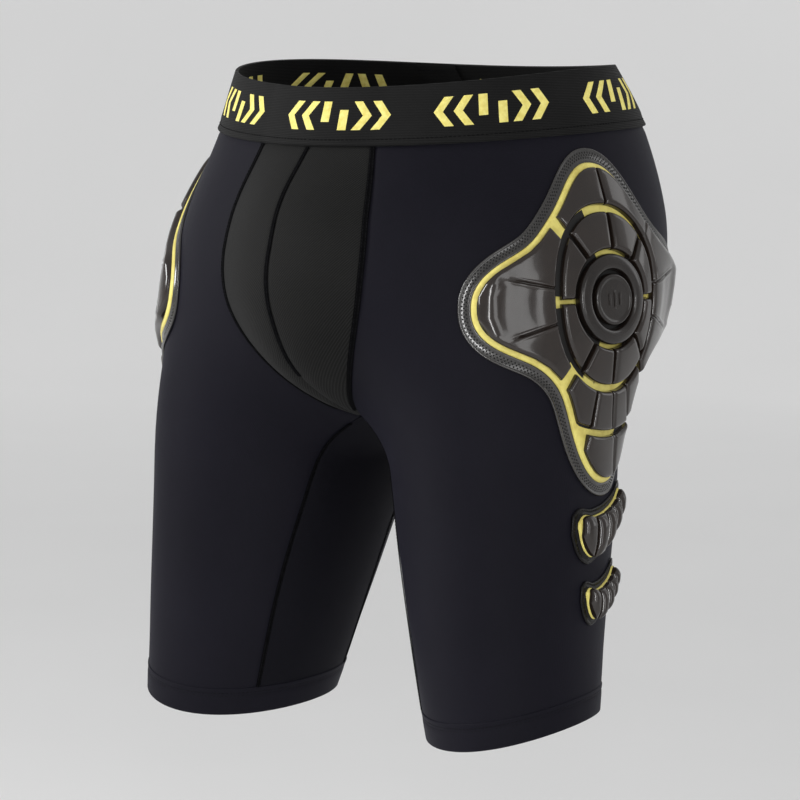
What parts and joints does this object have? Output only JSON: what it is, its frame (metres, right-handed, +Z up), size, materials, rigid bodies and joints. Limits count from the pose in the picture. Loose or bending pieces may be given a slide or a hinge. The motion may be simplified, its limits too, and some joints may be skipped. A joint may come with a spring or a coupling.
{
  "type": "padded impact shorts",
  "caption": "Stretch shorts with an elastic waistband, front pouch, and segmented rubber impact pads over the hips and thighs.",
  "frame": {"origin": "centre of the waist opening, level with the middle of the waistband's top edge at the front and back", "axes": "+Z up, -Y to the front of the garment, +X towards the wearer's left"},
  "size_m": [0.3692, 0.335, 0.4434],
  "materials": {
    "leg_fabric": "smooth knitted stretch fabric with a slight sheen",
    "pouch_fabric": "fine diagonal twill",
    "hem_fabric": "folded and stitched stretch fabric",
    "band": "woven elastic with a yellow geometric pattern",
    "label": "plain woven tag",
    "thread": "flat stitched seam",
    "flange": "satin film with rows of small perforations",
    "foam": "soft yellow foam",
    "segment": "glossy moulded rubber",
    "hub": "glossy moulded rubber"
  },
  "bodies": {
    "root": {"waistband": "band", "back_label": "label", "left_leg_panel": "pouch_fabric", "right_leg_panel": "pouch_fabric", "left_gusset": "leg_fabric", "right_gusset": "leg_fabric", "pouch_pane_left": "pouch_fabric", "pouch_pane_right": "pouch_fabric", "left_hem": "hem_fabric", "right_hem": "hem_fabric", "pouch_seam_centre": "thread", "pouch_seam_left": "thread", "pouch_seam_right": "thread", "left_leg_seam": "thread", "right_leg_seam": "thread", "back_seam": "thread", "left_hip_flange": "flange", "left_hip_foam": "foam", "left_hip_cap": "hub", "left_hip_ring": "hub", "left_hip_wedges": "segment", "left_hip_top": "segment", "left_hip_front": "segment", "left_hip_rear": "segment", "left_hip_lower": "segment", "right_hip_flange": "flange", "right_hip_foam": "foam", "right_hip_cap": "hub", "right_hip_ring": "hub", "right_hip_wedges": "segment", "right_hip_top": "segment", "right_hip_front": "segment", "right_hip_rear": "segment", "right_hip_lower": "segment", "left_upper_flange": "flange", "left_upper_foam": "foam", "left_upper_ribs": "segment", "left_lower_flange": "flange", "left_lower_foam": "foam", "left_lower_ribs": "segment", "right_upper_flange": "flange", "right_upper_foam": "foam", "right_upper_ribs": "segment", "right_lower_flange": "flange", "right_lower_foam": "foam", "right_lower_ribs": "segment"}
  },
  "joints": []
}
